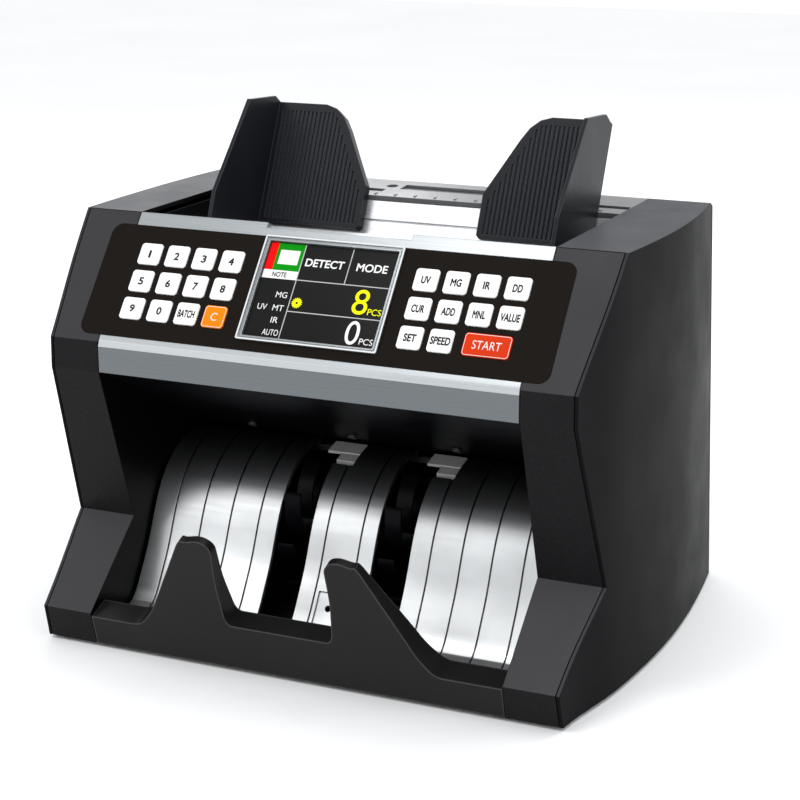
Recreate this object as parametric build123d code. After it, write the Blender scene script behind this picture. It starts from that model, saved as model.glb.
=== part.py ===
from build123d import *
from math import asin, atan2, cos, degrees, hypot, pi, radians, sin
import os

# Banknote counter: hopper with two sliding guides on top, control panel, stacker pocket in front.
# Built with x = 0 on the middle of the hopper, y = 0 and z = 0 on the lower front edge of the housing,
# then moved so the origin is the centre of the footprint at table height.

# ---- driving dimensions, mm ----
INNER_HALF = 115.5            # half width of the panel, hopper and pocket
HOUSING_TOP = 220.4
WALL = 2.5
LAP = 1.6                     # thickness of the side cover skin left under a front cover
FOOT_H = 2.0
SEAM = 0.5
FIT = 0.2                     # gap between neighbouring covers
SPAN = 170.0                  # half width of the blanks the covers are cut from

BOTTOM_FRONT = (0.0, 0.0)
TOE = (-4.9, 18.1)
WAIST = (41.3, 57.9)
BAND_BOTTOM = (12.5, 144.7)
BAND_TOP = (12.6, 160.9)
CREST = (59.8, 220.4)
FRONT_LINE = [BOTTOM_FRONT, TOE, WAIST, BAND_BOTTOM, BAND_TOP, CREST]

TOP_FLAT_END = 205.0
REAR_ROUND = 30.0
REAR_BOTTOM = 248.0
REAR_DRAFT = 14.0
SIDE_DRAFT = 3.4
CORNER_R = 18.0
RIGHT_STATIONS = [                # (y, half width) along the bowed right side
    (-30, 143.4), (-6, 144.6), (14, 147.0), (42, 152.6), (76, 156.8), (120, 159.2), (170, 157.8),
]
LEFT_STATIONS = [                 # (y, half width) along the bowed left side
    (-30, 143.4), (-6, 144.6), (14, 146.6), (42, 150.4), (76, 152.4), (120, 153.2), (170, 152.2),
]
RIGHT_REAR_X = 151.6
LEFT_REAR_X = 148.2

KEY_W = 12.6
KEY_H = 12.2
KEY_PITCH_X = 15.95
KEY_PITCH_S = 15.7
KEY_FIRST_X = 53.9            # centre of the innermost key column
KEY_TOP_S = 51.9              # centre of the top key row, up the slope
KEY_PROUD = 0.6
OVERLAY_T = 1.0
PANEL_T = 2.0

GUIDE_LEAN = 24.6
GUIDE_FOOT = (155.0, 200.8)
GUIDE_T = 6.0
GUIDE_INNER_X = 35.0
GUIDE_OUTER_X = 99.5

WHEEL_AXIS = (87.0, 51.0)
WHEEL_R = 36.0
WHEEL_X = 29.0
WHEEL_W = 9.0
WHEEL_PULLEY_R = 11.0
FEED_AXIS = (98.0, 122.0)
FEED_R = 14.0
FEED_PULLEY_R = 13.0
PICKUP_AXIS = (121.0, 134.0)
PICKUP_R = 11.0
PICKUP_PULLEY_R = 9.0
MOTOR_AXIS = (176.0, 66.0)
MOTOR_PULLEY_R = 8.0
SHAFT_R = 4.0
FLANGE_RIM = 2.0              # how far a pulley flange stands above its groove
BEARING_R = 8.0
FRAME_X = 118.0
FRAME_T = 2.0

AXES = [WHEEL_AXIS, FEED_AXIS, PICKUP_AXIS]
SENSOR_X = (-17.2, 41.3)
SENSOR_CUT = 19.6

SHIFT_X = -(RIGHT_STATIONS[5][1] - LEFT_STATIONS[5][1]) / 2
SHIFT_Y = -114.479

parts = {}


# ---- helpers ----
def block(x0, x1, y0, y1, z0, z1):
    size = (x1 - x0, y1 - y0, z1 - z0)
    return Pos((x0 + x1) / 2, (y0 + y1) / 2, (z0 + z1) / 2) * Box(*size)


def slab(points, x0, x1):
    """Side-view outline (y, z) carried across from x0 to x1."""
    face = make_face(Polyline(*points, close=True))
    return Pos(x0, 0, 0) * extrude(Plane.YZ * face, x1 - x0)


def slab_of(face, x0, x1):
    return Pos(x0, 0, 0) * extrude(Plane.YZ * face, x1 - x0)


def rod(x0, x1, centre, radius):
    y, z = centre
    return Pos((x0 + x1) / 2, y, z) * Rot(0, 90, 0) * Cylinder(radius, x1 - x0)


def cut_all(shape, tools):
    for tool in tools:
        shape = shape - tool
    return shape


def join_all(shapes):
    total = shapes[0]
    for shape in shapes[1:]:
        total = total + shape
    return total


def offset_curve(points, distance):
    """Points moved square to the line through their neighbours."""
    moved = []
    for i, (y, z) in enumerate(points):
        y0, z0 = points[max(i - 1, 0)]
        y1, z1 = points[min(i + 1, len(points) - 1)]
        length = hypot(y1 - y0, z1 - z0)
        moved.append((y - distance * (z1 - z0) / length, z + distance * (y1 - y0) / length))
    return moved


def band(points, near, far):
    """Face between two offsets of a smooth curve."""
    side_a = offset_curve(points, near)
    side_b = offset_curve(points, far)
    edges = [
        Spline(*side_a),
        Line(side_a[-1], side_b[-1]),
        Spline(*reversed(side_b)),
        Line(side_b[0], side_a[0]),
    ]
    return make_face(edges)


def slope_plane(height=0.0):
    """Plane on the control slope, raised by height; its y axis runs up the slope."""
    dy = CREST[0] - BAND_TOP[0]
    dz = CREST[1] - BAND_TOP[1]
    length = hypot(dy, dz)
    normal = (0, -dz / length, dy / length)
    origin = (0, BAND_TOP[0] + normal[1] * height, BAND_TOP[1] + normal[2] * height)
    return Plane(origin=origin, x_dir=(1, 0, 0), z_dir=normal)


def on_slope(width, depth, radius, low, high, x, s):
    """Rounded block standing on the control slope between two heights."""
    outline = Pos(x, s) * RectangleRounded(width, depth, radius)
    return extrude(slope_plane(low) * outline, high - low)


# ---- housing envelope ----
def plan_face(z, inset):
    dx = SIDE_DRAFT * z / HOUSING_TOP + inset
    y_rear = REAR_BOTTOM - REAR_DRAFT * z / HOUSING_TOP - inset
    radius = CORNER_R - inset
    half = radius * (1 - cos(pi / 4))
    xr = RIGHT_REAR_X - dx
    xl = -(LEFT_REAR_X - dx)
    y_turn = y_rear - radius
    right = [(x - dx, y) for y, x in RIGHT_STATIONS] + [(xr, y_turn)]
    left = [(-(x - dx), y) for y, x in LEFT_STATIONS] + [(xl, y_turn)]
    edges = [
        Line(left[0], right[0]),
        Spline(*right),
        ThreePointArc((xr, y_turn), (xr - half, y_rear - half), (xr - radius, y_rear)),
        Line((xr - radius, y_rear), (xl + radius, y_rear)),
        ThreePointArc((xl + radius, y_rear), (xl + half, y_rear - half), (xl, y_turn)),
        Spline(*reversed(left)),
    ]
    return Pos(0, 0, z) * make_face(edges)


def hull(inset):
    return loft([plan_face(-4.0, inset), plan_face(HOUSING_TOP + 6.0, inset)], ruled=True)


def mitred(points, distance):
    """Polyline moved sideways by a distance, with its corners kept sharp."""
    moved = []
    for i in range(1, len(points) - 1):
        before = atan2(points[i][1] - points[i - 1][1], points[i][0] - points[i - 1][0])
        after = atan2(points[i + 1][1] - points[i][1], points[i + 1][0] - points[i][0])
        middle = (before + after) / 2
        reach = distance / cos((after - before) / 2)
        moved.append((points[i][0] + reach * sin(middle), points[i][1] - reach * cos(middle)))
    return moved


def profile_face(inset):
    """Side view of the housing, moved in by the inset on the front, top and rear round."""
    line = [(0.0, -20.0)] + FRONT_LINE + [(TOP_FLAT_END, HOUSING_TOP)]
    front = mitred(line, inset)
    top_z = HOUSING_TOP - inset
    centre = (TOP_FLAT_END, HOUSING_TOP - REAR_ROUND)
    radius = REAR_ROUND - inset
    knee = (centre[0] + radius * sin(pi / 4), centre[1] + radius * cos(pi / 4))
    rear = (centre[0] + radius, centre[1])
    edges = [
        Polyline(*front, (TOP_FLAT_END, top_z)),
        ThreePointArc((TOP_FLAT_END, top_z), knee, rear),
        Polyline(rear, (262, centre[1]), (262, front[0][1]), front[0]),
    ]
    return make_face(edges)


profile = profile_face(0.0)
inner_profile = profile_face(WALL)
open_bottom = slab([(3.0, -6), (258, -6), (258, 4), (1.5, 4)], -SPAN, SPAN)
inner_slab = slab_of(inner_profile, -SPAN, SPAN) + open_bottom
outer_body = hull(0) & slab_of(profile, -SPAN, SPAN)
shell = outer_body - (hull(WALL) & inner_slab)

SEAM_LINE = [(CREST[0] - 0.4, 230), (CREST[0] - 0.4, HOUSING_TOP), (63.5, 215.5), (84, 196), (84, -8)]
front_zone = slab([(-60, -8), (-60, 230)] + SEAM_LINE, -SPAN, SPAN)
front_zone_wide = Pos(0, 0.4, 0) * front_zone
FLANGE = [
    BOTTOM_FRONT, TOE, WAIST, BAND_BOTTOM, BAND_TOP, (58.2, 218.4),
    (70, 214), (44, 176), (44, 150), (126, 150), (126, 8), (26, 8), (26, 0),
]

# ---- control panel overlay, used to recess the parts under it ----
OVERLAY_LOW = 4.2
OVERLAY_HIGH = 68.2
OVERLAY_HALF = 128.5
overlay_mid = (OVERLAY_LOW + OVERLAY_HIGH) / 2
overlay_size = (2 * OVERLAY_HALF, OVERLAY_HIGH - OVERLAY_LOW)
overlay_recess = on_slope(overlay_size[0] + 0.3, overlay_size[1] + 0.3, 6.1, -OVERLAY_T, 4, 0, overlay_mid)


def outer_side(x_low, x_high):
    return block(x_low, x_high, -60, 260, -6, 230)


def side_cover(keep):
    cover = shell & keep
    return cover - (hull(LAP) & front_zone_wide & keep)


def front_cover(keep, flange_x0, flange_x1):
    face_band = slab_of(profile, -SPAN, SPAN) - inner_slab
    cover = hull(LAP + SEAM) & face_band & front_zone & keep
    cover = cover + slab(FLANGE, flange_x0, flange_x1)
    for axis in AXES:
        cover = cover - rod(flange_x0 - 1, flange_x1 + 1, axis, BEARING_R + 0.4)
    return cover - overlay_recess


FLANGE_T = 1.8
right_keep = outer_side(INNER_HALF + FIT, SPAN + 10)
left_keep = outer_side(-SPAN - 10, -INNER_HALF - FIT)
parts["right_side_cover"] = side_cover(right_keep)
parts["left_side_cover"] = side_cover(left_keep)
parts["right_front_cover"] = front_cover(right_keep, INNER_HALF + FIT, INNER_HALF + FIT + FLANGE_T)
parts["left_front_cover"] = front_cover(left_keep, -INNER_HALF - FIT - FLANGE_T, -INNER_HALF - FIT)

# ---- rear cover with vents and the power inlet opening ----
INLET_X = -72.0
rear_half = INNER_HALF - FIT
front_half = INNER_HALF - 0.3
rear_cover = shell & block(-rear_half, rear_half, 210, 260, 3.0, 189.6)
vents = [block(x - 1.25, x + 1.25, 228, 260, 92, 128) for x in range(-48, 49, 8)]
rear_cover = cut_all(rear_cover, vents)
rear_cover = rear_cover - block(INLET_X - 14, INLET_X + 14, 236, 260, 13.6, 58.4)
SCREW_SPOTS = [(-104, 16), (104, 16), (-104, 178), (104, 178)]
for x, z in SCREW_SPOTS:
    rear_cover = rear_cover - Pos(x, 240, z) * Rot(90, 0, 0) * Cylinder(1.7, 30)
parts["rear_cover"] = rear_cover


def cross_screw():
    """Cross-head screw standing on z = 0 with its shank below."""
    head = Pos(0, 0, 0.7) * Cylinder(2.6, 1.4)
    shank = Pos(0, 0, -4.0) * Cylinder(1.45, 8.2)
    cross = Pos(0, 0, 1.3) * (Box(3.0, 0.7, 0.8) + Box(0.7, 3.0, 0.8))
    return (head + shank) - cross


screws = []
for x, z in SCREW_SPOTS:
    wall_y = REAR_BOTTOM - REAR_DRAFT * z / HOUSING_TOP
    screws.append(Pos(x, wall_y + 0.4, z) * Rot(-90, 0, 0) * cross_screw())

# ---- deck behind the hopper, with guide slots, size marks and the handle recess ----
DECK_FRONT = (170.0, 217.7)
deck_slope = (HOUSING_TOP - DECK_FRONT[1]) / (TOP_FLAT_END - DECK_FRONT[0])
round_z = HOUSING_TOP - REAR_ROUND
inner_round = REAR_ROUND - WALL
diagonal = sin(pi / 4)
deck_edges = [
    Line(DECK_FRONT, (TOP_FLAT_END, HOUSING_TOP)),
    ThreePointArc((TOP_FLAT_END, HOUSING_TOP),
                  (TOP_FLAT_END + REAR_ROUND * diagonal, round_z + REAR_ROUND * diagonal),
                  (TOP_FLAT_END + REAR_ROUND, round_z)),
    Line((TOP_FLAT_END + REAR_ROUND, round_z), (TOP_FLAT_END + inner_round, round_z)),
    ThreePointArc((TOP_FLAT_END + inner_round, round_z),
                  (TOP_FLAT_END + inner_round * diagonal, round_z + inner_round * diagonal),
                  (TOP_FLAT_END, HOUSING_TOP - WALL)),
    Polyline((TOP_FLAT_END, HOUSING_TOP - WALL), (DECK_FRONT[0], DECK_FRONT[1] - WALL), DECK_FRONT),
]
deck = slab_of(make_face(deck_edges), -rear_half, rear_half)
RECESS = (-24.0, 76.0, 187.6, 197.6)
deck = deck + block(RECESS[0] - 2, RECESS[1] + 2, RECESS[2] - 1.4, RECESS[3] + 1.8, 206.5, 218.2)
deck = deck - block(RECESS[0], RECESS[1], RECESS[2], RECESS[3], 208.5, 230)
LEG_X = [-8.0, 60.0]
LEG_Y = 192.6
for x in LEG_X:
    deck = deck - block(x - 4.4, x + 4.4, LEG_Y - 2.4, LEG_Y + 2.4, 200, 212)
for sign in (-1, 1):
    low = min(sign * 31.6, sign * 112.5)
    deck = deck - block(low, low + 80.9, 179.9, 185.2, 205, 225)
for k in range(-9, 9):
    x = 12 * k + 3.2
    y = 174.5
    top = DECK_FRONT[1] + deck_slope * (y - DECK_FRONT[0])
    deck = deck + block(x - 0.5, x + 0.5, y - 1.5, y + 1.5, top - 1.0, top + 0.35)
ADJUSTER = (-31.0, 193.0)
deck = deck + Pos(ADJUSTER[0], ADJUSTER[1], 213) * Cylinder(5.0, 9)
deck = deck - Pos(ADJUSTER[0], ADJUSTER[1], 214) * Cylinder(3.27, 16)
parts["top_rear_cover"] = deck

adjuster = Pos(ADJUSTER[0], ADJUSTER[1], 211.5) * Cylinder(3.2, 12)
adjuster = adjuster - Pos(ADJUSTER[0], ADJUSTER[1], 217.2) * Box(5.0, 0.9, 1.6)
adjuster = adjuster + Pos(ADJUSTER[0], ADJUSTER[1], 204.5) * Cylinder(4.4, 2.4)
parts["thickness_adjuster"] = adjuster

handle = block(RECESS[0] + 0.4, RECESS[1] - 0.4, RECESS[2] + 0.6, RECESS[3] - 0.6, 214.2, 218.6)
for x in LEG_X:
    handle = handle + block(x - 4, x + 4, LEG_Y - 2, LEG_Y + 2, 172, 215)
    handle = handle + block(x - 6, x + 6, LEG_Y - 2, LEG_Y + 2, 170, 173)
parts["carry_handle"] = handle

# ---- base, frame plates, feet ----
base = hull(WALL + 0.4) & join_all([
    block(-SPAN, SPAN, 28, 262, 0.6, 2.6),
    block(FRAME_X, SPAN, 4, 30, 0.6, 2.6),
    block(-SPAN, -FRAME_X, 4, 30, 0.6, 2.6),
])
base = base + block(-112, 112, 28, 30, 2.4, 6.5)
foot_spots = [(-118, 50), (118, 50), (-118, 216), (118, 216)]
for x, y in foot_spots:
    base = base - Pos(x, y, 1.6) * Cylinder(3.0, 4)
for x in range(-60, 61, 12):
    base = base - block(x - 2, x + 2, 100, 160, 0, 3)
parts["base_pan"] = base

feet = []
for x, y in foot_spots:
    pad = Pos(x, y, -0.7) * Cylinder(8.0, 2.6)
    plug = Pos(x, y, 1.2) * Cylinder(2.9, 2.8)
    feet.append(pad + plug)
parts["rubber_feet"] = Compound(feet)

FRAME = [
    (32, 2.7), (32, 24), (70, 60), (46, 140), (46, 170), (78, 208),
    (160, 208), (206, 206), (222, 190), (229, 120), (234, 2.7),
]


def frame_plate(x0):
    plate = slab(FRAME, x0, x0 + FRAME_T)
    for axis in AXES:
        plate = plate - rod(x0 - 1, x0 + FRAME_T + 1, axis, BEARING_R + 0.05)
    return plate


parts["left_frame_plate"] = frame_plate(-FRAME_X - FRAME_T)
parts["right_frame_plate"] = frame_plate(FRAME_X) - rod(117, 121, MOTOR_AXIS, 10)

bearings = []
for axis in AXES:
    for x0 in (-FRAME_X - 3.0, FRAME_X - 1.0):
        ring = rod(x0, x0 + 4.0, axis, BEARING_R) - rod(x0 - 1, x0 + 5, axis, SHAFT_R + 0.06)
        bearings.append(ring)
parts["shaft_bearings"] = Compound(bearings)

# ---- silver fascia ----
slope_length = hypot(CREST[0] - BAND_TOP[0], CREST[1] - BAND_TOP[1])
u_y = (CREST[0] - BAND_TOP[0]) / slope_length
u_z = (CREST[1] - BAND_TOP[1]) / slope_length


def slope_point(s, height):
    return (BAND_TOP[0] + u_y * s - u_z * height, BAND_TOP[1] + u_z * s + u_y * height)


fascia_line = [
    BAND_BOTTOM, (12.3, 158.4), slope_point(1.2, -0.1), slope_point(3.9, 0), slope_point(75.0, 0), CREST,
    (64.0, 218.4), (66.5, 205.0), (64.2, 205.0), slope_point(71.0, -3.0), slope_point(2.0, -3.0),
    (15.0, 159.0), (15.0, 147.0), (26.0, 147.0), (26.0, 144.7),
]
finger_relief = slab([(52, 218.0), (52, 226), (72, 226), (72, 218.0)], -40.4, 40.4)
fascia = slab(fascia_line, -front_half, front_half) - finger_relief - overlay_recess

# ---- keys ----
LEFT_KEYS = [
    ["key_1", "key_2", "key_3", "key_4"],
    ["key_5", "key_6", "key_7", "key_8"],
    ["key_9", "key_0", "key_batch", "key_c"],
]
RIGHT_KEYS = [
    ["key_uv", "key_mg", "key_ir", "key_dd"],
    ["key_cur", "key_add", "key_mnl", "key_value"],
    ["key_set", "key_speed"],
]
keys = {}
for row, names in enumerate(LEFT_KEYS):
    for col, name in enumerate(names):
        x = -(KEY_FIRST_X + KEY_PITCH_X * (3 - col))
        keys[name] = (x, KEY_TOP_S - KEY_PITCH_S * row, KEY_W)
for row, names in enumerate(RIGHT_KEYS):
    for col, name in enumerate(names):
        keys[name] = (KEY_FIRST_X + KEY_PITCH_X * col, KEY_TOP_S - KEY_PITCH_S * row, KEY_W)
START_W = 24.4
keys["key_start"] = (KEY_FIRST_X + KEY_PITCH_X * 2.5, KEY_TOP_S - KEY_PITCH_S * 2, START_W)

key_holes = []
domes = []
BOARD_DEPTH = OVERLAY_T + PANEL_T + 4.0
for name, (x, s, width) in keys.items():
    cap = on_slope(width, KEY_H, 1.8, -OVERLAY_T - PANEL_T - 0.2, KEY_PROUD, x, s)
    cap = fillet(cap.faces().sort_by(Axis((0, 0, 0), (0, -u_z, u_y)))[-1].edges(), 0.45)
    flange = on_slope(width + 2.0, KEY_H + 2.0, 1.0, -4.1, -3.15, x, s)
    plunger = on_slope(5.0, 5.0, 0.6, -5.3, -4.0, x, s)
    parts[name] = cap + flange + plunger
    key_holes.append(on_slope(width + 0.7, KEY_H + 0.7, 2.1, -8, 3, x, s))
    domes.append(on_slope(6.0, 6.0, 1.0, -BOARD_DEPTH - 0.3, -6.4, x, s))

# ---- display ----
DISPLAY_S = 38.9
DISPLAY_X = 0.4
WINDOW = (71.6, 53.4)


def window_block(margin, radius, low, high):
    """Block on the display centre, larger than the window by the margin."""
    return on_slope(WINDOW[0] + margin, WINDOW[1] + margin, radius, low, high, DISPLAY_X, DISPLAY_S)


screen_opening = window_block(3.2, 0.8, -8, 3)
overlay = on_slope(overlay_size[0], overlay_size[1], 6.0, -OVERLAY_T + 0.02, 0, 0, overlay_mid)
overlay = cut_all(overlay, key_holes) - screen_opening
parts["panel_overlay"] = overlay
parts["front_fascia"] = cut_all(fascia, key_holes) - screen_opening

frame_outer = on_slope(77.4, 58.8, 1.0, 0.05, 1.3, 0.2, 39.2)
frame_step = on_slope(75.0, 56.4, 0.8, 0.8, 2.0, 0.2, 39.2)
frame_ridge = window_block(2.0, 0.8, 0.05, 1.1)
frame_skirt = window_block(2.6, 0.6, -3.0, 0.3)
bezel = (frame_outer - frame_step) + frame_ridge + frame_skirt
parts["display_frame"] = bezel - window_block(0, 0.5, -3, 3)

screen = window_block(-0.4, 0.4, -2.6, -0.5) + window_block(-2.0, 0.6, -3.3, -2.4)
parts["display_screen"] = screen + window_block(2.4, 0.6, -6.4, -3.1)

board = on_slope(224, 58, 1.0, -BOARD_DEPTH - 1.6, -BOARD_DEPTH, 0, 38)
parts["keypad_board"] = join_all([board] + domes)

# ---- note tray with two leaning fingers ----
TRAY_LEAN = 0.2707            # forward lean of the tray front, run over rise
LEDGE_RISE = 0.38             # rise of the ledges towards the back


def tray_half_outline(sign, stretch, finger, foot):
    """Edges of one half of the tray front, with its finger and the finger's foot moved outwards."""

    def at(x, z, move=0.0):
        return (sign * (x + move), z * stretch)

    inner_foot = at(24.6, 25.6, finger)
    inner_bend = at(29.0, 31.5, finger)
    inner_top = at(29.9, 66.5, finger)
    outer_top = at(50.4, 67.6, finger)
    outer_bend = at(67.5, 34.6, foot)
    outer_foot = at(85.5, 16.4, foot)
    return [
        Line(at(0, 25.6), inner_foot),
        Spline(inner_foot, at(27.8, 27.4, finger), inner_bend, tangents=[at(1, 0), at(0.08, 1)]),
        Spline(inner_bend, at(30.4, 48.0, finger), inner_top, tangents=[at(0.08, 1), at(-0.04, 1)]),
        Spline(inner_top, at(32.3, 71.6, finger), at(38.0, 73.3, finger), at(45.2, 72.0, finger), outer_top,
               tangents=[at(-0.04, 1), at(0.5, -0.96)]),
        Line(outer_top, outer_bend),
        Spline(outer_bend, at(72.0, 26.6, foot), at(77.2, 20.2, foot), outer_foot,
               tangents=[at(0.46, -0.88), at(1, 0)]),
        Line(outer_foot, at(front_half, 16.4)),
        Line(at(front_half, 16.4), at(front_half, 0)),
        Line(at(front_half, 0), at(0, 0)),
        Line(at(0, 0), at(0, 25.6)),
    ]


leaning = Plane(origin=(0, 0, 0), x_dir=(1, 0, 0), z_dir=(0, -1, -TRAY_LEAN))
stretch = hypot(1, TRAY_LEAN)
right_half = make_face(tray_half_outline(1, stretch, -2.4, -0.4))
left_half = make_face(tray_half_outline(-1, stretch, 5.0, 5.0))
tray_face = right_half + left_half
tray_sweep = extrude(leaning * tray_face, amount=34, dir=(0, 1, LEDGE_RISE))
TRAY_SECTION = [(0, 0), (-TRAY_LEAN * 76, 76), (-15.9, 76), (8.4, 21.8), (8.4, 0)]
tray_core = tray_sweep & slab(TRAY_SECTION, -116, 116)
tray_floor = slab([(6.0, 0.2), (6.0, 9.0), (30.0, 9.0), (30.0, 7.4), (25.5, 7.4), (25.5, 0.2)],
                  -front_half, front_half)
tray_floor = tray_floor - slab([(10.0, -1), (10.0, 7.0), (23.0, 7.0), (23.0, -1)], -110, 110)
parts["note_tray"] = tray_core + tray_floor

# ---- stacker fins, throat and pocket back ----
FIN_CURVE = [
    (30.0, 10.8), (35.0, 13.2), (38.8, 17.0), (44.2, 25.0), (50.5, 35.0), (55.2, 44.0), (59.2, 53.0),
    (64.0, 62.5), (70.0, 71.5), (77.5, 79.2), (86.0, 85.0), (95.0, 89.0), (105.0, 91.6), (118.0, 93.0),
]
SIDE_GROUP = (39.3, 114.2)
MIDDLE_GROUP = 18.8
GROOVES = [-101.5, -84.3, -67.4, -50.4, -9.8, 10.2, 50.4, 67.4, 84.3, 101.5]
fin_band = band(FIN_CURVE, -2.4, 0)
groove_band = band(FIN_CURVE, -0.9, 1.5)
groups = [
    slab_of(fin_band, -SIDE_GROUP[1], -SIDE_GROUP[0]),
    slab_of(fin_band, -MIDDLE_GROUP, MIDDLE_GROUP),
    slab_of(fin_band, SIDE_GROUP[0], SIDE_GROUP[1]),
]
FRONT_TIE = [(27.8, 9.4), (34.0, 9.4), (36.8, 12.4), (35.0, 13.0), (30.0, 10.6)]
REAR_TIE = [(114.6, 91.4), (118.0, 91.8), (118.0, 84.0), (115.0, 84.0)]
front_tie = slab(FRONT_TIE, -SIDE_GROUP[1], SIDE_GROUP[1])
rear_tie = slab(REAR_TIE, -SIDE_GROUP[1], SIDE_GROUP[1])
rear_tie = rear_tie - block(-SIDE_GROUP[0], -MIDDLE_GROUP, 110, 119, 87.0, 95)
rear_tie = rear_tie - block(MIDDLE_GROUP, SIDE_GROUP[0], 110, 119, 87.0, 95)
fins = join_all(groups + [front_tie, rear_tie])
for x in GROOVES:
    fins = fins - slab_of(groove_band, x - 0.45, x + 0.45)
screw_recess = slab_of(groove_band, -7.6, 7.6) & block(-10, 10, 30, 60, 14.5, 29.4)
fins = fins - screw_recess - Pos(-0.8, 42.2, 22.6) * Rot(55, 0, 0) * Cylinder(1.7, 12)
for x in SENSOR_X:
    fins = fins - block(x - SENSOR_CUT / 2, x + SENSOR_CUT / 2, 88.6, 109.0, 82, 96)
parts["stacker_fins"] = fins

# ---- black pocket housing: throat slope, rear wall and the walls beside the wheels ----
THROAT_TOP = (16.0, 144.3)
THROAT_END = (110.8, 93.0)
HOUSING_HALF = 115.0
THROAT = [
    THROAT_TOP, THROAT_END, (114.0, 93.4), (114.0, 97.8), (111.4, 97.8), (26.0, 141.9), (26.0, 144.3),
]
housing = slab(THROAT, -HOUSING_HALF, HOUSING_HALF)
housing = housing + block(-HOUSING_HALF, HOUSING_HALF, 127.6, 130.0, 10.0, 97.8)
for x0 in (-HOUSING_HALF, HOUSING_HALF - 2.0):
    housing = housing + block(x0, x0 + 2.0, 112.0, 129.0, 95.4, 97.8)
under_fins = offset_curve(FIN_CURVE, -2.8)[3:-1]
WHEEL_WALL = under_fins + [(113.2, 82.0), (129.0, 82.0), (129.0, 12.0), (under_fins[0][0], 12.0)]
for x0 in (-41.4, -18.5, 16.9, 39.8):
    housing = housing + slab(WHEEL_WALL, x0, x0 + 1.6)
housing = housing - rod(-50, 50, WHEEL_AXIS, 6.0)
for x in SENSOR_X:
    housing = housing - block(x - SENSOR_CUT / 2, x + SENSOR_CUT / 2, 90.5, 109.5, 80.0, 93.0)

throat_fall = (THROAT_TOP[1] - THROAT_END[1]) / (THROAT_END[0] - THROAT_TOP[0])
THROAT_SCREW_Y = 97.0
for x in (-72.0, -11.5, 49.5):
    z = THROAT_END[1] + (THROAT_END[0] - THROAT_SCREW_Y) * throat_fall
    spot = Pos(x, THROAT_SCREW_Y, z - 0.2) * Rot(180 - degrees(atan2(throat_fall, 1)), 0, 0)
    housing = housing - spot * Cylinder(1.6, 30)
    screws.append(spot * cross_screw())
parts["pocket_housing"] = housing
parts["cover_screws"] = Compound(screws)

SENSOR_FOOT = 10.9            # width of the part that stands clear of the wheel slot
sensors = []
for x in SENSOR_X:
    half = SENSOR_CUT / 2 - 0.3
    lens = slab([(98.6, 88.4), (98.6, 89.8), (108.4, 92.4), (108.4, 88.4)], x - half, x + half)
    foot = slab([(92.0, 84.6), (92.0, 87.4), (108.4, 92.0), (108.4, 86.4)], x + half - SENSOR_FOOT, x + half)
    sensors.append(lens + foot)
parts["exit_sensors"] = Compound(sensors)



def pulley(axis, radius):
    """Flanged pulley on the right-hand end of a shaft."""
    groove = rod(126, 136, axis, radius)
    rims = rod(126, 128, axis, radius + FLANGE_RIM) + rod(134, 136, axis, radius + FLANGE_RIM)
    return groove + rims


# ---- stacker wheels ----
stacker_shaft = rod(-126, 138, WHEEL_AXIS, SHAFT_R)
stacker_shaft = stacker_shaft + pulley(WHEEL_AXIS, WHEEL_PULLEY_R) + rod(-125.6, -123.6, WHEEL_AXIS, 6.0)
parts["stacker_shaft"] = stacker_shaft


def curved_blade(angle):
    """One flexible blade, swept back as it leaves the hub."""
    line = []
    for k in range(6):
        r = 9.5 + (WHEEL_R - 9.5) * k / 5
        a = radians(angle) - 0.95 * (k / 5) ** 1.4
        line.append((r * cos(a), r * sin(a)))
    return band(line, -0.9, 0.9)


def stacker_wheel(x):
    wheel = rod(x - WHEEL_W / 2, x + WHEEL_W / 2, (0, 0), 11.5)
    for k in range(8):
        wheel = wheel + slab_of(curved_blade(45 * k + 10), x - WHEEL_W / 2, x + WHEEL_W / 2)
    wheel = wheel & rod(x - WHEEL_W, x + WHEEL_W, (0, 0), WHEEL_R)
    wheel = Pos(0, WHEEL_AXIS[0], WHEEL_AXIS[1]) * wheel
    return wheel - rod(x - WHEEL_W, x + WHEEL_W, WHEEL_AXIS, SHAFT_R)


parts["stacker_wheels"] = Compound([stacker_wheel(-WHEEL_X), stacker_wheel(WHEEL_X)])

# ---- hopper plate and front wall ----
lean = radians(GUIDE_LEAN)
lean_tan = sin(lean) / cos(lean)


def plate_y(z):
    return DECK_FRONT[0] + 0.4 + lean_tan * (z - DECK_FRONT[1])


plate_line = [
    (plate_y(214.9), 214.9), (plate_y(214.9) + 2.2, 214.9), (plate_y(148.0) + 2.2, 146.0),
    (128.0, 141.0), (104.0, 136.6), (104.0, 138.8), (127.0, 143.2), (plate_y(149.5), 149.5),
]
plate = slab(plate_line, -rear_half + 0.6, rear_half - 0.6)
seam_z = 205.2
plate = plate - slab([(plate_y(seam_z) - 2, seam_z), (plate_y(seam_z) + 1.0, seam_z),
                      (plate_y(seam_z) + 0.6, seam_z - 0.9), (plate_y(seam_z) - 2, seam_z - 0.9)], -120, 120)
for x in (-WHEEL_X, WHEEL_X):
    plate = plate - block(x - 11, x + 11, 106, 136, 128, 160)
parts["hopper_plate"] = plate

front_wall_line = [(67.0, 204.6), (68.5, 204.6), (94.0, 150.0), (94.0, 140.0), (92.0, 140.0), (92.0, 149.5)]
liner_line = [(68.4, 216.4), (168.0, 216.4), (138.0, 152.0), (98.0, 143.0), (92.4, 140.2), (92.4, 149.5),
              (67.4, 204.6)]
LINER_X = 112.6
liner = slab(front_wall_line, -LINER_X - 1.6, LINER_X + 1.6)
for x0 in (-LINER_X - 1.6, LINER_X):
    liner = liner + slab(liner_line, x0, x0 + 1.6)
parts["hopper_liner"] = liner

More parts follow.
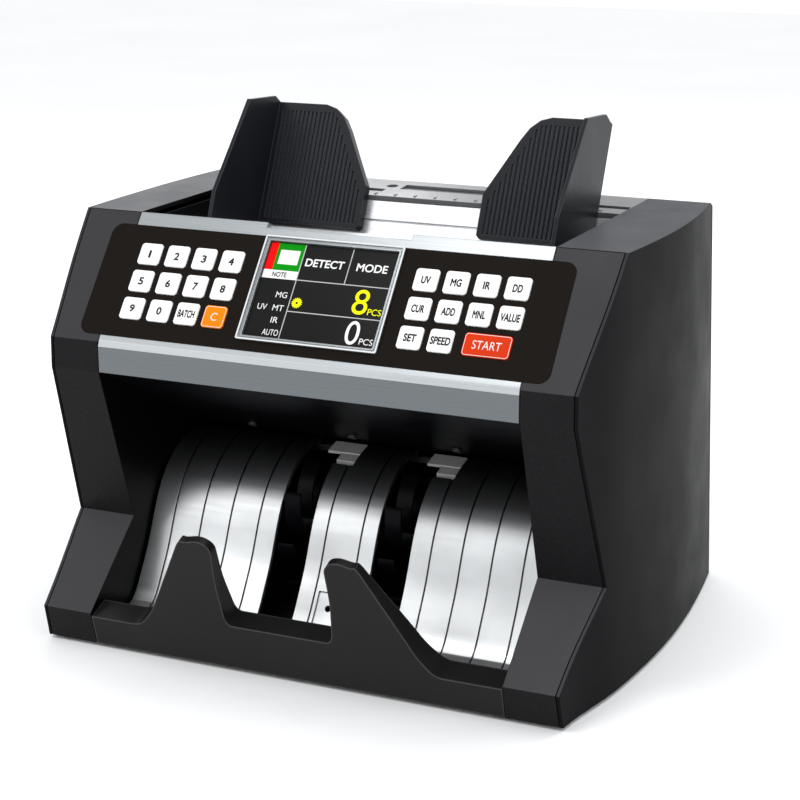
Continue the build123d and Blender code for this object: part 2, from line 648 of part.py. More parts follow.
# ---- rollers ----
pickup = rod(-126, 126, PICKUP_AXIS, SHAFT_R)
for x in (-WHEEL_X, WHEEL_X):
    pickup = pickup + rod(x - 9, x + 9, PICKUP_AXIS, PICKUP_R)
pickup = pickup + rod(-132, -126, PICKUP_AXIS, PICKUP_PULLEY_R) + rod(123.4, 125.4, PICKUP_AXIS, 6.0)
parts["pickup_rollers"] = pickup

feed = rod(-132, 138, FEED_AXIS, SHAFT_R)
for x in (-60, -WHEEL_X, 0, WHEEL_X, 60):
    feed = feed + rod(x - 7, x + 7, FEED_AXIS, FEED_R)
parts["feed_rollers"] = feed + rod(-132, -126, FEED_AXIS, PICKUP_PULLEY_R) + pulley(FEED_AXIS, FEED_PULLEY_R)

motor = rod(62, 114, MOTOR_AXIS, 21.0) + rod(113, 117.9, MOTOR_AXIS, 9.0)
motor = motor + block(60, 116, 158, 194, 2.7, 50)
motor = motor - block(64, 112, 160, 192, 1, 44)
motor = motor - rod(100, 120, MOTOR_AXIS, 3.2)
parts["main_motor"] = motor
parts["motor_pulley"] = rod(101, 138, MOTOR_AXIS, 3.0) + pulley(MOTOR_AXIS, MOTOR_PULLEY_R)


# ---- belts ----
BELT_GAP = 0.3


def belt_loop(circles, clearance):
    """Face inside an open belt that runs anticlockwise around the pulleys."""
    count = len(circles)
    leave = []
    arrive = [0.0] * count
    for i, ((cy, cz), r) in enumerate(circles):
        (ny, nz), nr = circles[(i + 1) % count]
        lift = asin((r - nr) / hypot(ny - cy, nz - cz))
        angle = atan2(nz - cz, ny - cy) - pi / 2 + lift
        leave.append(angle)
        arrive[(i + 1) % count] = angle
    edges = []
    for i, ((cy, cz), r) in enumerate(circles):
        radius = r + clearance
        sweep = (leave[i] - arrive[i]) % (2 * pi)
        angles = [arrive[i], arrive[i] + sweep / 2, arrive[i] + sweep]
        arc = [(cy + radius * cos(a), cz + radius * sin(a)) for a in angles]
        edges.append(ThreePointArc(*arc))
        (ny, nz), nr = circles[(i + 1) % count]
        reach = nr + clearance
        edges.append(Line(arc[2], (ny + reach * cos(leave[i]), nz + reach * sin(leave[i]))))
    return make_face(edges)


def belt(circles, x0, x1, thickness):
    outer = slab_of(belt_loop(circles, BELT_GAP + thickness), x0, x1)
    return outer - slab_of(belt_loop(circles, BELT_GAP), x0 - 1, x1 + 1)


main_run = [(WHEEL_AXIS, WHEEL_PULLEY_R), (MOTOR_AXIS, MOTOR_PULLEY_R), (FEED_AXIS, FEED_PULLEY_R)]
pickup_run = [(PICKUP_AXIS, PICKUP_PULLEY_R), (FEED_AXIS, PICKUP_PULLEY_R)]
main_belt = belt(main_run, 128.6, 133.4, 1.2)
pickup_belt = belt(pickup_run, -131.4, -126.8, 1.0)
parts["drive_belts"] = Compound([main_belt, pickup_belt])

# ---- electronics ----
pcb = block(-104, 40, 148, 226, 14, 15.6)
pcb = pcb + block(-96, -60, 156, 186, 15.5, 20) + block(-50, -30, 160, 180, 15.5, 18)
pcb = pcb + block(-20, 30, 206, 216, 15.5, 25) + block(-20, 34, 154, 160, 15.5, 24)
for x, y in ((-80, 206), (-64, 206), (-48, 206)):
    pcb = pcb + Pos(x, y, 22) * Cylinder(6, 14)
for x in (-100, 36):
    for y in (152, 222):
        pcb = pcb + Pos(x, y, 8.4) * Cylinder(3, 11.4)
parts["main_board"] = pcb

socket = block(INLET_X - 13.6, INLET_X + 13.6, 226, 248, 14, 58)
socket = socket + block(INLET_X - 16, INLET_X + 16, 247.4, 248.8, 11.5, 60.5)
socket = socket - block(INLET_X - 10.5, INLET_X + 10.5, 234, 250, 17.5, 32.5)
socket = socket - block(INLET_X - 10.4, INLET_X + 10.4, 236.5, 250, 37.5, 56.5)
for x, z in ((-6, 22), (6, 22), (0, 27.5)):
    socket = socket + block(INLET_X + x - 1, INLET_X + x + 1, 233, 245, z - 2, z + 2)
pivot = (246.0, 47.0)
socket = socket + rod(INLET_X - 10.6, INLET_X + 10.6, pivot, 1.2)
parts["power_inlet"] = socket

rocker_line = [(-4.6, -7.6), (1.0, -8.0), (2.2, 0.0), (1.0, 8.0), (-4.6, 7.6)]
rocker = slab(rocker_line, -9.6, 9.6) - rod(-11, 11, (0, 0), 1.28)
parts["power_switch"] = Pos(INLET_X, pivot[0], pivot[1]) * Rot(-8, 0, 0) * rocker

# ---- hopper guides ----
lean_plane = Plane(
    origin=(0, GUIDE_FOOT[0], GUIDE_FOOT[1]), x_dir=(1, 0, 0), z_dir=(0, -cos(lean), sin(lean))
)
RIB_PITCH = 2.6
RIB_COUNT = 22


def guide_right():
    inner = GUIDE_INNER_X
    outer = GUIDE_OUTER_X
    outline = [(inner + 2.0, 0.3), (outer, 0.3), (outer, 70.2), (67.5, 70.2), (61.0, 68.2), (55.6, 63.6),
               (51.2, 56.6), (inner, 25.4), (inner, 2.3)]
    wall = extrude(lean_plane * make_face(Polyline(*outline, close=True)), -GUIDE_T)
    for k in range(RIB_COUNT):
        x = inner + 3.4 + RIB_PITCH * k
        top = min(22.6 + 1.95 * (x - inner - 3.4), 65.8)
        groove = Pos(x + 0.5, (2.8 + top) / 2) * Rectangle(1.3, top - 2.8)
        wall = wall - extrude(lean_plane * groove, -1.0)
    side = [(101.5, 212.6), (107.0, 225.8), (149.0, 270.2), (178.9, 268.6), (186.6, 263.4), (160.6, 203.2),
            (154.6, 200.9), (99.0, 206.0)]
    wing = slab(side, outer - 2.2, outer)
    hook = [(169.5, 219.9), (171.5, 224.0), (184.2, 224.0), (184.2, 212.0), (181.4, 212.0), (181.4, 220.6)]
    arm = slab(hook, 66.0, 92.0)
    return wall + wing + arm


right_guide = guide_right()
parts["right_hopper_guide"] = right_guide
parts["left_hopper_guide"] = mirror(right_guide, Plane.YZ)

# ---- write every piece in the shared frame ----
os.makedirs("parts", exist_ok=True)
for name, shape in parts.items():
    placed = Pos(SHIFT_X, SHIFT_Y, FOOT_H) * shape
    export_step(placed, f"parts/{name}.step")
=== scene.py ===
from math import cos, pi, radians, sin

import bmesh
import bpy
from mathutils import Matrix, Vector


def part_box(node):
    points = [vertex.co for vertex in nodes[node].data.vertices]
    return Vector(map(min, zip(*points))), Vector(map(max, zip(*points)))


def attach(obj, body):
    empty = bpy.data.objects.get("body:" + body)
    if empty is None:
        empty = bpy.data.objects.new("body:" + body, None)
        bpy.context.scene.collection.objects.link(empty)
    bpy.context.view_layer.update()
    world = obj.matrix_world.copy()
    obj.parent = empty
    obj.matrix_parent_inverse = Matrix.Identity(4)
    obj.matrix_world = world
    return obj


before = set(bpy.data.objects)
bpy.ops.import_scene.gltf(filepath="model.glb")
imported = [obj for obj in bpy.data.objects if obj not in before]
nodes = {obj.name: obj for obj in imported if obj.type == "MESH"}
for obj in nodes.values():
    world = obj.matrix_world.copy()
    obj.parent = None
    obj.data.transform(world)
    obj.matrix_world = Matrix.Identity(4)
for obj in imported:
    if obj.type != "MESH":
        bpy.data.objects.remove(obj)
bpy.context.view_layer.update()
MM = 0.001

# ---- camera: the viewing angle and distance of the product view ----
CAMERA_AZIMUTH = 24.08
CAMERA_ELEVATION = 15.63
CAMERA_PLACE = Vector((428.2, -945.48, 409.7)) * MM
CAMERA_LENS = 89.87


def centre(node):
    low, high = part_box(node)
    return (Vector(low) + Vector(high)) / 2


# ---- axes of the sloping control face, from two keys above each other ----
SIDE = Vector((1, 0, 0))
UP = (centre("key_1") - centre("key_5")).normalized()
OUT = SIDE.cross(UP)
FACE_TURN = Matrix((SIDE, UP, OUT)).transposed().to_4x4()


def top_of(node):
    """Height of a node's highest point along the control face's normal."""
    return max(v.co.dot(OUT) for v in nodes[node].data.vertices)


def on_face(point, height):
    """A point moved along the normal until it stands at the given height."""
    return point + OUT * (height - point.dot(OUT))


# ---- materials ----
def node_material(name):
    material = bpy.data.materials.new(name)
    material.use_nodes = True
    tree = material.node_tree
    shader = tree.nodes["Principled BSDF"]
    return material, tree, shader


def place_texture(tree, scale=(1.0, 1.0, 1.0)):
    where = tree.nodes.new("ShaderNodeTexCoord")
    stretch = tree.nodes.new("ShaderNodeMapping")
    stretch.inputs["Scale"].default_value = scale
    tree.links.new(where.outputs["Object"], stretch.inputs["Vector"])
    return stretch.outputs["Vector"]


def noise(tree, vector, scale, detail=3.0, rough=0.55):
    texture = tree.nodes.new("ShaderNodeTexNoise")
    texture.inputs["Scale"].default_value = scale
    texture.inputs["Detail"].default_value = detail
    texture.inputs["Roughness"].default_value = rough
    tree.links.new(vector, texture.inputs["Vector"])
    return texture.outputs["Fac"]


def ramp(tree, factor, stops):
    """Colour ramp; each stop is (position, colour)."""
    node = tree.nodes.new("ShaderNodeValToRGB")
    elements = node.color_ramp.elements
    while len(elements) < len(stops):
        elements.new(0.5)
    for element, (position, colour) in zip(elements, stops):
        element.position = position
        element.color = (*colour, 1)
    tree.links.new(factor, node.inputs["Fac"])
    return node.outputs["Color"]


def map_range(tree, factor, low, high, from_low=0.3, from_high=0.7):
    node = tree.nodes.new("ShaderNodeMapRange")
    node.inputs["From Min"].default_value = from_low
    node.inputs["From Max"].default_value = from_high
    node.inputs["To Min"].default_value = low
    node.inputs["To Max"].default_value = high
    tree.links.new(factor, node.inputs["Value"])
    return node.outputs["Result"]


def multiply(tree, colour, factor):
    mix = tree.nodes.new("ShaderNodeMix")
    mix.data_type = "RGBA"
    mix.blend_type = "MULTIPLY"
    mix.inputs["Factor"].default_value = 1.0
    tree.links.new(colour, mix.inputs["A"])
    tree.links.new(factor, mix.inputs["B"])
    return mix.outputs["Result"]


def blend(tree, factor, colour, constant):
    """Colour turned into a constant one where the factor is 1."""
    mix = tree.nodes.new("ShaderNodeMix")
    mix.data_type = "RGBA"
    mix.inputs["B"].default_value = (*constant, 1)
    tree.links.new(factor, mix.inputs["Factor"])
    tree.links.new(colour, mix.inputs["A"])
    return mix.outputs["Result"]


def upward(tree):
    """The Z of a face's normal: 0 for an upright face and 1 for a level one."""
    geometry = tree.nodes.new("ShaderNodeNewGeometry")
    split = tree.nodes.new("ShaderNodeSeparateXYZ")
    tree.links.new(geometry.outputs["Normal"], split.inputs["Vector"])
    return split.outputs["Z"]


def edge_mask(tree, radius):
    """1 along sharp edges and 0 on open faces."""
    rounding = tree.nodes.new("ShaderNodeBevel")
    rounding.samples = 6
    rounding.inputs["Radius"].default_value = radius
    geometry = tree.nodes.new("ShaderNodeNewGeometry")
    dot = tree.nodes.new("ShaderNodeVectorMath")
    dot.operation = "DOT_PRODUCT"
    tree.links.new(rounding.outputs["Normal"], dot.inputs[0])
    tree.links.new(geometry.outputs["Normal"], dot.inputs[1])
    return map_range(tree, dot.outputs["Value"], 0.0, 1.0, 0.995, 0.85)


def shade(colour, factor):
    return tuple(min(c * factor, 1.0) for c in colour)


def bump(tree, shader, height, strength, distance, edge=0.0):
    node = tree.nodes.new("ShaderNodeBump")
    node.inputs["Strength"].default_value = strength
    node.inputs["Distance"].default_value = distance
    tree.links.new(height, node.inputs["Height"])
    if edge > 0:
        rounding = tree.nodes.new("ShaderNodeBevel")
        rounding.samples = 4
        rounding.inputs["Radius"].default_value = edge
        tree.links.new(rounding.outputs["Normal"], node.inputs["Normal"])
    tree.links.new(node.outputs["Normal"], shader.inputs["Normal"])


PAINTED_TOP_LIGHT_START = 0.3                  # upward tilt at which a top starts to be painted paler, as painted top light
PAINTED_TOP_LIGHT_FULL = 0.95


def plastic(name, colour, rough=(0.35, 0.5), grain=900.0, grain_depth=0.00004, spread=0.12, edge=0.0006,
            specular=0.5, coat=0.0, speck=None, painted_top_light=0.0, painted_edge_highlight=0.0):
    """Moulded plastic: mottled colour, uneven gloss, fine grain, softened edges, optional specks.

    The two lift factors are how many times paler the level faces (painted top light) and the sharp edges
    (painted highlight) are painted.
    """
    material, tree, shader = node_material(name)
    vector = place_texture(tree)
    broad = noise(tree, vector, 28.0)
    fine = noise(tree, vector, grain, 2.0)
    tint = ramp(tree, broad, [(0.3, shade(colour, 1 - spread)), (0.7, shade(colour, 1 + spread))])
    if speck:
        spots = noise(tree, vector, 1500.0, 1.0)
        mask = map_range(tree, spots, 0.0, 1.0, 0.55, 0.72)
        tint = blend(tree, mask, tint, speck)
    # painted light: level faces painted paler as painted top light, sharp edges painted paler as a painted
    # highlight
    if painted_top_light > 0:
        painted_top_mask = map_range(tree, upward(tree), 0.0, 1.0, PAINTED_TOP_LIGHT_START, PAINTED_TOP_LIGHT_FULL)
        tint = blend(tree, painted_top_mask, tint, shade(colour, painted_top_light))
    if painted_edge_highlight > 0:
        tint = blend(tree, edge_mask(tree, edge), tint, shade(colour, painted_edge_highlight))
    tree.links.new(tint, shader.inputs["Base Color"])
    tree.links.new(map_range(tree, broad, *rough), shader.inputs["Roughness"])
    shader.inputs["Specular IOR Level"].default_value = specular
    shader.inputs["Coat Weight"].default_value = coat
    shader.inputs["Coat Roughness"].default_value = 0.12
    bump(tree, shader, fine, 0.35, grain_depth, edge)
    return material


def metal(name, colour, rough=(0.25, 0.4), brush=(1.0, 60.0, 60.0), edge=0.0004, metallic=1.0, depth=0.00003):
    """Metal with a directional brushed grain."""
    material, tree, shader = node_material(name)
    vector = place_texture(tree, brush)
    streaks = noise(tree, vector, 40.0, 4.0, 0.6)
    broad = noise(tree, place_texture(tree), 22.0)
    tint = ramp(tree, broad, [(0.3, shade(colour, 0.86)), (0.7, shade(colour, 1.1))])
    tree.links.new(tint, shader.inputs["Base Color"])
    tree.links.new(map_range(tree, streaks, *rough), shader.inputs["Roughness"])
    shader.inputs["Metallic"].default_value = metallic
    bump(tree, shader, streaks, 0.2, depth, edge)
    return material


FIN_SHADE_LOW = 0.066             # heights between which the fins are painted darker, as painted shade under the throat
FIN_SHADE_HIGH = 0.094
FIN_PAINTED_SLIT_SHADE_REACH = 0.0016


def fin_metal(name):
    """Silver with painted shade: darker towards the top of the fins, under the throat, and in the slits
    between them.
    """
    material = metal(name, (0.56, 0.57, 0.575), rough=(0.3, 0.38), brush=(0.5, 8.0, 8.0),
                     metallic=0.92, depth=0.000006)
    tree = material.node_tree
    shader = tree.nodes["Principled BSDF"]
    tint = shader.inputs["Base Color"].links[0].from_socket
    where = tree.nodes.new("ShaderNodeTexCoord")
    split = tree.nodes.new("ShaderNodeSeparateXYZ")
    tree.links.new(where.outputs["Object"], split.inputs["Vector"])
    # painted shade: darker with height towards the throat above
    rise = map_range(tree, split.outputs["Z"], 0.0, 1.0, FIN_SHADE_LOW, FIN_SHADE_HIGH)
    painted_top_shade = ramp(tree, rise, [(0.0, (1, 1, 1)), (0.55, (0.45, 0.45, 0.46)), (1.0, (0.1, 0.1, 0.105))])
    # painted shade: ambient occlusion darkens the slits between the fins
    corners = tree.nodes.new("ShaderNodeAmbientOcclusion")
    corners.samples = 6
    corners.inputs["Distance"].default_value = FIN_PAINTED_SLIT_SHADE_REACH
    painted_slit_shade = ramp(tree, corners.outputs["AO"], [(0.45, (0.02, 0.02, 0.022)), (0.8, (1, 1, 1))])
    tree.links.new(multiply(tree, multiply(tree, tint, painted_top_shade), painted_slit_shade), shader.inputs["Base Color"])
    return material


def front_plastic(name):
    """Speckled charcoal, painted paler on level faces as painted top light, and painted plain black on faces
    turned sideways, such as the walls inside the pocket, as painted shade.
    """
    material = plastic(name, (0.0085, 0.0083, 0.0090), rough=(0.34, 0.44), grain=500.0, grain_depth=0.0001,
                       spread=0.08, specular=0.07, speck=(0.0165, 0.0165, 0.019), painted_top_light=7.0)
    tree = material.node_tree
    shader = tree.nodes["Principled BSDF"]
    tint = shader.inputs["Base Color"].links[0].from_socket
    # painted shade: faces turned sideways are darkened to a quarter, standing in for the shade on the walls
    # inside the pocket
    geometry = tree.nodes.new("ShaderNodeNewGeometry")
    turn = tree.nodes.new("ShaderNodeVectorMath")
    turn.operation = "ABSOLUTE"
    tree.links.new(geometry.outputs["Normal"], turn.inputs[0])
    facing = tree.nodes.new("ShaderNodeSeparateXYZ")
    tree.links.new(turn.outputs["Vector"], facing.inputs["Vector"])
    painted_wall_shade = ramp(tree, map_range(tree, facing.outputs["X"], 0.0, 1.0, 0.9, 0.99),
                [(0.0, (1, 1, 1)), (1.0, (0.25, 0.25, 0.26))])
    tree.links.new(multiply(tree, tint, painted_wall_shade), shader.inputs["Base Color"])
    return material


def silver(name):
    """Silver paint with a lengthwise grain; its colour changes with how far a face turns upwards, as a
    painted reflection, palest near a tilt of 0.3 and darkest on upright faces.
    """
    material, tree, shader = node_material(name)
    streaks = noise(tree, place_texture(tree, (0.4, 50.0, 50.0)), 40.0, 4.0, 0.6)
    # painted reflection: colour set by the face's upward tilt
    tint = ramp(tree, upward(tree), [
        (0.0, (0.15, 0.165, 0.172)), (0.08, (0.17, 0.185, 0.192)), (0.3, (0.5, 0.52, 0.53)),
        (0.5, (0.36, 0.38, 0.39)), (0.62, (0.27, 0.285, 0.295)), (0.9, (0.4, 0.42, 0.43)),
    ])
    uneven = ramp(tree, streaks, [(0.3, (0.92, 0.92, 0.92)), (0.7, (1.0, 1.0, 1.0))])
    tree.links.new(multiply(tree, tint, uneven), shader.inputs["Base Color"])
    tree.links.new(map_range(tree, streaks, 0.26, 0.38), shader.inputs["Roughness"])
    shader.inputs["Metallic"].default_value = 0.7
    bump(tree, shader, streaks, 0.2, 0.00002, 0.0005)
    return material


def print_ink(name, colour, glow=0.0):
    """Printed or lit marking with a slightly uneven density."""
    material, tree, shader = node_material(name)
    density = noise(tree, place_texture(tree), 2600.0, 2.0)
    tint = ramp(tree, density, [(0.25, shade(colour, 0.9)), (0.75, colour)])
    tree.links.new(tint, shader.inputs["Base Color"])
    shader.inputs["Roughness"].default_value = 0.5
    shader.inputs["Specular IOR Level"].default_value = 0.05
    if glow > 0:
        tree.links.new(tint, shader.inputs["Emission Color"])
        shader.inputs["Emission Strength"].default_value = glow
    return material


CHARCOAL = (0.0065, 0.0066, 0.0073)
SATIN = (0.26, 0.36)
SOFT_SHEEN = (0.4, 0.5)
MOULDED_GRAIN = 700.0
FINE_GRAIN = 1200.0
MATERIALS = {
    # painted top light: the level tops of the covers are painted nine times paler
    "cover": plastic("cover_charcoal", CHARCOAL, rough=(0.36, 0.46), grain=MOULDED_GRAIN, grain_depth=0.00012,
                     spread=0.06, specular=0.018, painted_top_light=9.0),
    # painted top light: the deck, a level top, is painted a much paler grey than the charcoal covers
    "deck": plastic("deck_painted_top_light", (0.13, 0.132, 0.137), rough=SATIN, grain=MOULDED_GRAIN, grain_depth=0.00006,
                    spread=0.06, specular=0.35),
    "front": front_plastic("front_speckled"),
    "silver": silver("fascia_silver"),
    "bezel": metal("bezel_silver", (0.2, 0.212, 0.218), rough=(0.22, 0.34), brush=(0.4, 50.0, 50.0),
                   metallic=0.7),
    "overlay": plastic("overlay_film", (0.0095, 0.0072, 0.0058), rough=(0.45, 0.55), grain=1400.0,
                       grain_depth=0.00002, spread=0.04, edge=0.0002, specular=0.02),
    "screen": plastic("screen_glass", (0.0115, 0.0115, 0.0115), rough=(0.16, 0.24), grain=300.0,
                      grain_depth=0.000005, spread=0.05, edge=0.0001, specular=0.03),
    "key_white": plastic("key_white", (0.8, 0.797, 0.785), rough=SOFT_SHEEN, grain=FINE_GRAIN,
                         grain_depth=0.00002, spread=0.02, edge=0.0003, specular=0.2),
    "key_orange": plastic("key_orange", (0.76, 0.2, 0.002), rough=SOFT_SHEEN, grain=FINE_GRAIN,
                          grain_depth=0.00002, spread=0.05, edge=0.0003, specular=0.05),
    "key_red": plastic("key_red", (0.56, 0.03, 0.002), rough=SOFT_SHEEN, grain=FINE_GRAIN,
                       grain_depth=0.00002, spread=0.05, edge=0.0003, specular=0.05),
    "black": plastic("black_satin", (0.0015, 0.0016, 0.0024), rough=(0.34, 0.46), grain=800.0,
                     grain_depth=0.00005, spread=0.08, specular=0.08),
    # painted highlight: the sharp edges of the tray are painted nine times paler
    "tray": plastic("tray_black", (0.0095, 0.0090, 0.0090), rough=(0.28, 0.36), grain=650.0,
                    grain_depth=0.00006, spread=0.06, edge=0.0012, specular=0.16, painted_edge_highlight=9.0),
    "fins": fin_metal("fins_silver"),
    "white": metal("hopper_silver", (0.66, 0.67, 0.68), rough=(0.24, 0.34), brush=(0.3, 20.0, 20.0),
                   edge=0.0005, metallic=0.5, depth=0.00001),
    # painted highlight: the sharp edges of the guides are painted six times paler
    "guide": plastic("guide_charcoal", (0.0120, 0.0126, 0.0155), rough=SATIN, grain=MOULDED_GRAIN,
                     grain_depth=0.00006, spread=0.06, edge=0.0007, specular=0.11, painted_edge_highlight=6.0),
    "lens": plastic("sensor_white", (0.48, 0.48, 0.47), rough=(0.12, 0.2), grain=300.0, grain_depth=0.00001,
                    spread=0.06, edge=0.0003, coat=0.4),
    "steel": metal("sheet_steel", (0.55, 0.56, 0.57), rough=(0.3, 0.45)),
    "polished": metal("polished_steel", (0.66, 0.66, 0.67), rough=(0.16, 0.28)),
    "screw": metal("black_screw", (0.06, 0.06, 0.063), rough=(0.3, 0.45), metallic=0.6),
    "rubber": plastic("matt_rubber", (0.01, 0.01, 0.011), rough=(0.6, 0.75), grain=1100.0,
                      grain_depth=0.00008, specular=0.2),
    "motor": metal("motor_metal", (0.25, 0.25, 0.26), rough=(0.35, 0.5)),
    "board": plastic("circuit_board", (0.012, 0.09, 0.035), rough=(0.3, 0.4), grain=400.0,
                     grain_depth=0.00004),
}


STEEL_TINT = (0.6, 0.6, 0.62)
SHAFT_RADIUS = 0.004


def roller_material(name, axis_node):
    """Rubber tyres on a steel shaft, told apart by the distance from the shaft's axis."""
    material, tree, shader = node_material(name)
    middle = centre(axis_node)
    where = tree.nodes.new("ShaderNodeTexCoord")
    shift = tree.nodes.new("ShaderNodeVectorMath")
    shift.operation = "SUBTRACT"
    shift.inputs[1].default_value = middle
    flat = tree.nodes.new("ShaderNodeVectorMath")
    flat.operation = "MULTIPLY"
    flat.inputs[1].default_value = (0, 1, 1)
    length = tree.nodes.new("ShaderNodeVectorMath")
    length.operation = "LENGTH"
    tree.links.new(where.outputs["Object"], shift.inputs[0])
    tree.links.new(shift.outputs["Vector"], flat.inputs[0])
    tree.links.new(flat.outputs["Vector"], length.inputs[0])
    mask = map_range(tree, length.outputs["Value"], 0.0, 1.0,
                     SHAFT_RADIUS + 0.0002, SHAFT_RADIUS + 0.0006)
    mix = tree.nodes.new("ShaderNodeMix")
    mix.data_type = "RGBA"
    grain = noise(tree, place_texture(tree), 900.0)
    rubber = ramp(tree, grain, [(0.3, (0.017, 0.017, 0.018)), (0.7, (0.032, 0.032, 0.034))])
    mix.inputs["A"].default_value = (*STEEL_TINT, 1)
    tree.links.new(rubber, mix.inputs["B"])
    tree.links.new(mask, mix.inputs["Factor"])
    tree.links.new(mix.outputs["Result"], shader.inputs["Base Color"])
    tree.links.new(map_range(tree, mask, 0.25, 0.65, 0.0, 1.0), shader.inputs["Roughness"])
    tree.links.new(map_range(tree, mask, 1.0, 0.0, 0.0, 1.0), shader.inputs["Metallic"])
    bump(tree, shader, grain, 0.3, 0.00006)
    return material


FINISH = {
    "left_side_cover": "cover", "right_side_cover": "cover", "rear_cover": "cover", "top_rear_cover": "deck",
    "left_front_cover": "front", "right_front_cover": "front", "front_fascia": "silver",
    "display_frame": "bezel", "panel_overlay": "overlay", "display_screen": "screen", "note_tray": "tray",
    "pocket_housing": "black", "hopper_liner": "black", "stacker_fins": "fins", "hopper_plate": "white",
    "left_hopper_guide": "guide", "right_hopper_guide": "guide", "carry_handle": "guide",
    "thickness_adjuster": "black", "exit_sensors": "lens", "base_pan": "steel",
    "left_frame_plate": "steel", "right_frame_plate": "steel", "shaft_bearings": "polished",
    "cover_screws": "screw", "stacker_shaft": "polished", "stacker_wheels": "black",
    "rubber_feet": "rubber", "drive_belts": "rubber", "main_motor": "motor", "motor_pulley": "polished",
    "main_board": "board", "keypad_board": "board", "power_inlet": "black", "power_switch": "black",
    "key_c": "key_orange", "key_start": "key_red",
}


def dress(node, material):
    mesh = nodes[node].data
    mesh.materials.clear()
    mesh.materials.append(material)


for node in nodes:
    default = "key_white" if node.startswith("key_") else "black"
    dress(node, MATERIALS[FINISH.get(node, default)])
dress("feed_rollers", roller_material("feed_roller_mix", "feed_rollers"))
dress("pickup_rollers", roller_material("pickup_roller_mix", "pickup_rollers"))

INK_DARK = print_ink("ink_dark", (0.012, 0.0115, 0.011))
INK_WHITE = print_ink("ink_white", (0.72, 0.71, 0.69))
# painted highlight: pale colour for the bright line along the bezel rim
PAINTED_RIM_HIGHLIGHT = print_ink("bezel_rim_painted_highlight", (0.7, 0.71, 0.72))
LIT_WHITE = print_ink("lit_white", (0.7, 0.7, 0.7), 0.2)
LIT_GREY = print_ink("lit_grey", (0.42, 0.42, 0.42), 0.15)
LIT_YELLOW = print_ink("lit_yellow", (0.8, 0.8, 0.004), 0.2)
LIT_GREEN = print_ink("lit_green", (0.0, 0.23, 0.002), 0.1)
LIT_RED = print_ink("lit_red", (0.8, 0.002, 0.002), 0.1)
LIT_BLACK = print_ink("lit_black", (0.004, 0.004, 0.004))


# ---- flat markings on the control face ----
LAYER = 0.00006                   # step between a face and what is printed on it
BOLD = 0.03                       # extra outline of the dark lettering, as a share of the font's size
SEMIBOLD = 0.02


def settle(piece, body):
    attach(piece, body)


def lettering(name, words, place, width, height, material, body, weight):
    """Words lying on the control face, fitted to a box of the given width and height around place."""
    curve = bpy.data.curves.new(name, "FONT")
    curve.body = words
    curve.extrude = 0.01
    curve.bevel_depth = weight
    curve.bevel_resolution = 0
    curve.materials.append(material)
    piece = bpy.data.objects.new(name, curve)
    bpy.context.collection.objects.link(piece)
    bpy.context.view_layer.update()
    low = Vector(piece.bound_box[0])
    high = Vector(piece.bound_box[6])
    fit = Matrix.Diagonal((width * MM / (high.x - low.x), height * MM / (high.y - low.y), MM, 1.0))
    piece.matrix_world = Matrix.Translation(place) @ FACE_TURN @ fit @ Matrix.Translation(-(low + high) / 2)
    settle(piece, body)
    return piece


def flat_shape(name, outline, material, body):
    """A thin plate with the given corners (points in space, in order)."""
    mesh = bpy.data.meshes.new(name)
    build = bmesh.new()
    face = build.faces.new([build.verts.new(point) for point in outline])
    result = bmesh.ops.extrude_face_region(build, geom=[face])
    moved = [item for item in result["geom"] if isinstance(item, bmesh.types.BMVert)]
    bmesh.ops.translate(build, verts=moved, vec=OUT * LAYER * 0.6)
    bmesh.ops.recalc_face_normals(build, faces=build.faces)
    build.to_mesh(mesh)
    build.free()
    mesh.materials.append(material)
    piece = bpy.data.objects.new(name, mesh)
    bpy.context.collection.objects.link(piece)
    settle(piece, body)
    return piece


DIGIT_WIDTHS = {"1": 1.3, "4": 3.0}
KEY_LEGENDS = {                   # words, then width and height of the print in mm
    "key_" + digit: (digit, DIGIT_WIDTHS.get(digit, 2.8), 4.3) for digit in "1234567890"
}
KEY_LEGENDS.update({
    "key_batch": ("BATCH", 9.5, 4.3),
    "key_c": ("C", 3.6, 4.4),
    "key_uv": ("UV", 4.9, 4.1),
    "key_mg": ("MG", 5.7, 4.2),
    "key_ir": ("IR", 3.7, 4.2),
    "key_dd": ("DD", 5.0, 4.2),
    "key_cur": ("CUR", 6.9, 4.2),
    "key_add": ("ADD", 7.0, 4.2),
    "key_mnl": ("MNL", 6.6, 4.2),
    "key_value": ("VALUE", 10.0, 4.3),
    "key_set": ("SET", 6.5, 4.2),
    "key_speed": ("SPEED", 10.4, 4.3),
    "key_start": ("START", 14.8, 4.5),
})
COLOUR_KEYS = {"key_c": "key_orange", "key_start": "key_red"}


def key_legends():
    for key, (words, width, height) in KEY_LEGENDS.items():
        ink = INK_WHITE if key in COLOUR_KEYS else INK_DARK
        spot = on_face(centre(key), top_of(key) + LAYER)
        weight = 0.0 if key in COLOUR_KEYS else BOLD
        lettering("legend_" + key, words, spot, width, height, ink, key + "_body", weight)


key_legends()


def rounded_outline(middle, width, height, radius, steps=5):
    points = []
    for quarter in range(4):
        sx = 1 if quarter in (0, 3) else -1
        sy = 1 if quarter in (0, 1) else -1
        corner = middle + SIDE * sx * (width / 2 - radius) + UP * sy * (height / 2 - radius)
        for step in range(steps + 1):
            angle = (quarter + step / steps) * pi / 2
            points.append(corner + (SIDE * cos(angle) + UP * sin(angle)) * radius)
    return points


